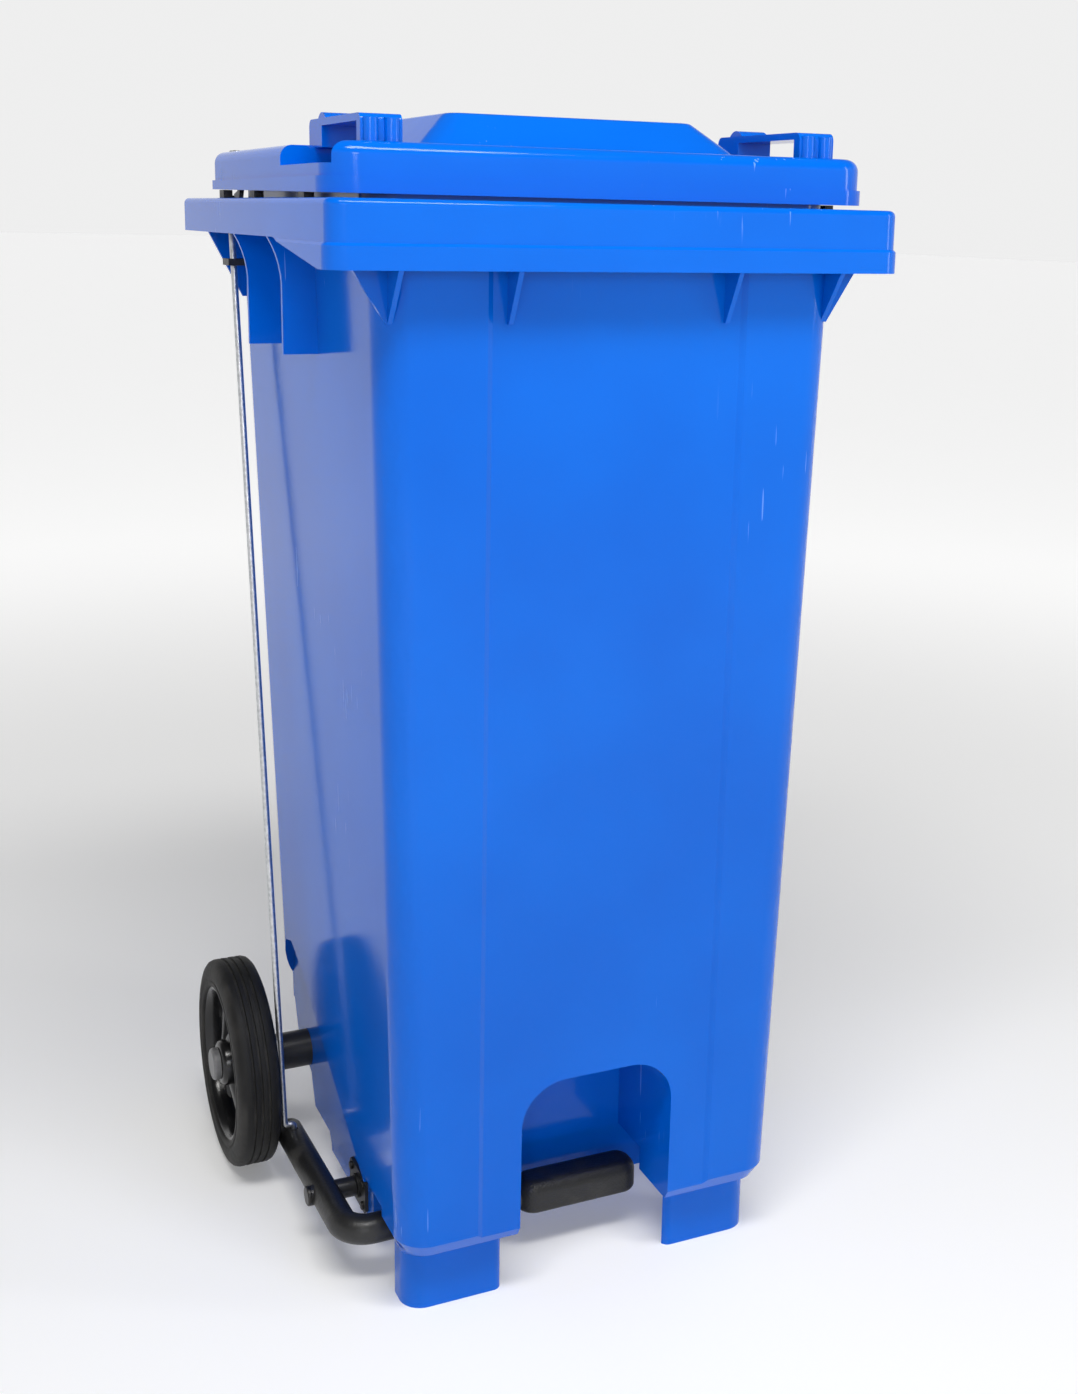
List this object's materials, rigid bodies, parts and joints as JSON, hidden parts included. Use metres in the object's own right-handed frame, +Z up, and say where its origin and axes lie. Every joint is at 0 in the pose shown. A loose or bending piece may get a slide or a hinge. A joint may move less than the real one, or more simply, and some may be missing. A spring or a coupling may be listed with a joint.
{
  "type": "two-wheeled pedal refuse bin",
  "caption": "Tall tapered plastic refuse bin on two rear wheels, with a hinged lid that a foot pedal lifts through a side lever and rod.",
  "frame": {"origin": "middle of the footprint of the whole object, at ground level", "axes": "+Z up, the front with the pedal faces -Y, +X to the right seen from the front; the axle lies along X"},
  "size_m": [0.53, 0.52, 0.9975],
  "materials": {
    "blue_hdpe": "glossy injection-moulded polyethylene, fine haze and light scratches",
    "tyre_rubber": "matt solid rubber",
    "black_rubber": "satin rubber",
    "hub_plastic": "glossy black moulded plastic",
    "black_plastic": "satin black plastic",
    "grey_plastic": "dull grey plastic",
    "nylon": "natural nylon",
    "black_steel": "satin black powder coat",
    "galvanised_steel": "drawn galvanised steel",
    "zinc_fasteners": "bright zinc plate"
  },
  "bodies": {
    "bin": {"body_tub": "blue_hdpe", "lid_buffers": "black_rubber", "pivot_bolt": "black_steel", "pivot_bracket": "black_steel", "bracket_screws": "zinc_fasteners", "rod_guide": "black_plastic", "axle": "galvanised_steel", "hinge_pin_left": "black_plastic", "hinge_cap_left": "black_plastic", "axle_spacer_left": "black_plastic", "axle_washer_left": "zinc_fasteners", "axle_cap_left": "grey_plastic", "hinge_pin_right": "black_plastic", "hinge_cap_right": "black_plastic", "axle_spacer_right": "black_plastic", "axle_washer_right": "zinc_fasteners", "axle_cap_right": "grey_plastic"},
    "lid": {"lid_shell": "blue_hdpe", "rod_lug": "galvanised_steel", "lug_rivets": "zinc_fasteners"},
    "pedal": {"pedal_lever": "black_steel", "lever_end_plug": "black_plastic", "pedal_pad": "black_rubber", "pivot_bush": "nylon"},
    "lift_rod": {"lift_rod": "galvanised_steel", "rod_clip": "zinc_fasteners"},
    "wheel_left": {"tyre_left": "tyre_rubber", "hub_left": "hub_plastic", "hub_bush_left": "nylon"},
    "wheel_right": {"tyre_right": "tyre_rubber", "hub_right": "hub_plastic", "hub_bush_right": "nylon"}
  },
  "joints": [
    {"name": "lid_hinge", "type": "hinge", "parent": "bin", "child": "lid", "pos_m": [0, 0.195, 0.946], "axis": [-1, 0, 0], "range_deg": [0, 75]},
    {"name": "pedal_pivot", "type": "hinge", "parent": "bin", "child": "pedal", "pos_m": [-0.2, -0.07, 0.04838], "axis": [1, 0, 0], "range_deg": [0, 20.6]},
    {"name": "rod_slide", "type": "slide", "parent": "bin", "child": "lift_rod", "axis": [0, 0, 1], "range_m": [0, 0.0405]},
    {"name": "wheel_left_spin", "type": "hinge", "parent": "bin", "child": "wheel_left", "pos_m": [-0.238, 0.109, 0.1], "axis": [1, 0, 0], "continuous": true},
    {"name": "wheel_right_spin", "type": "hinge", "parent": "bin", "child": "wheel_right", "pos_m": [0.238, 0.109, 0.1], "axis": [1, 0, 0], "continuous": true}
  ],
  "couplings": [
    {"joint": "pedal_pivot", "follows": "lid_hinge", "ratio": 0.2703},
    {"joint": "rod_slide", "follows": "lid_hinge", "m_per_rad": 0.0305}
  ]
}
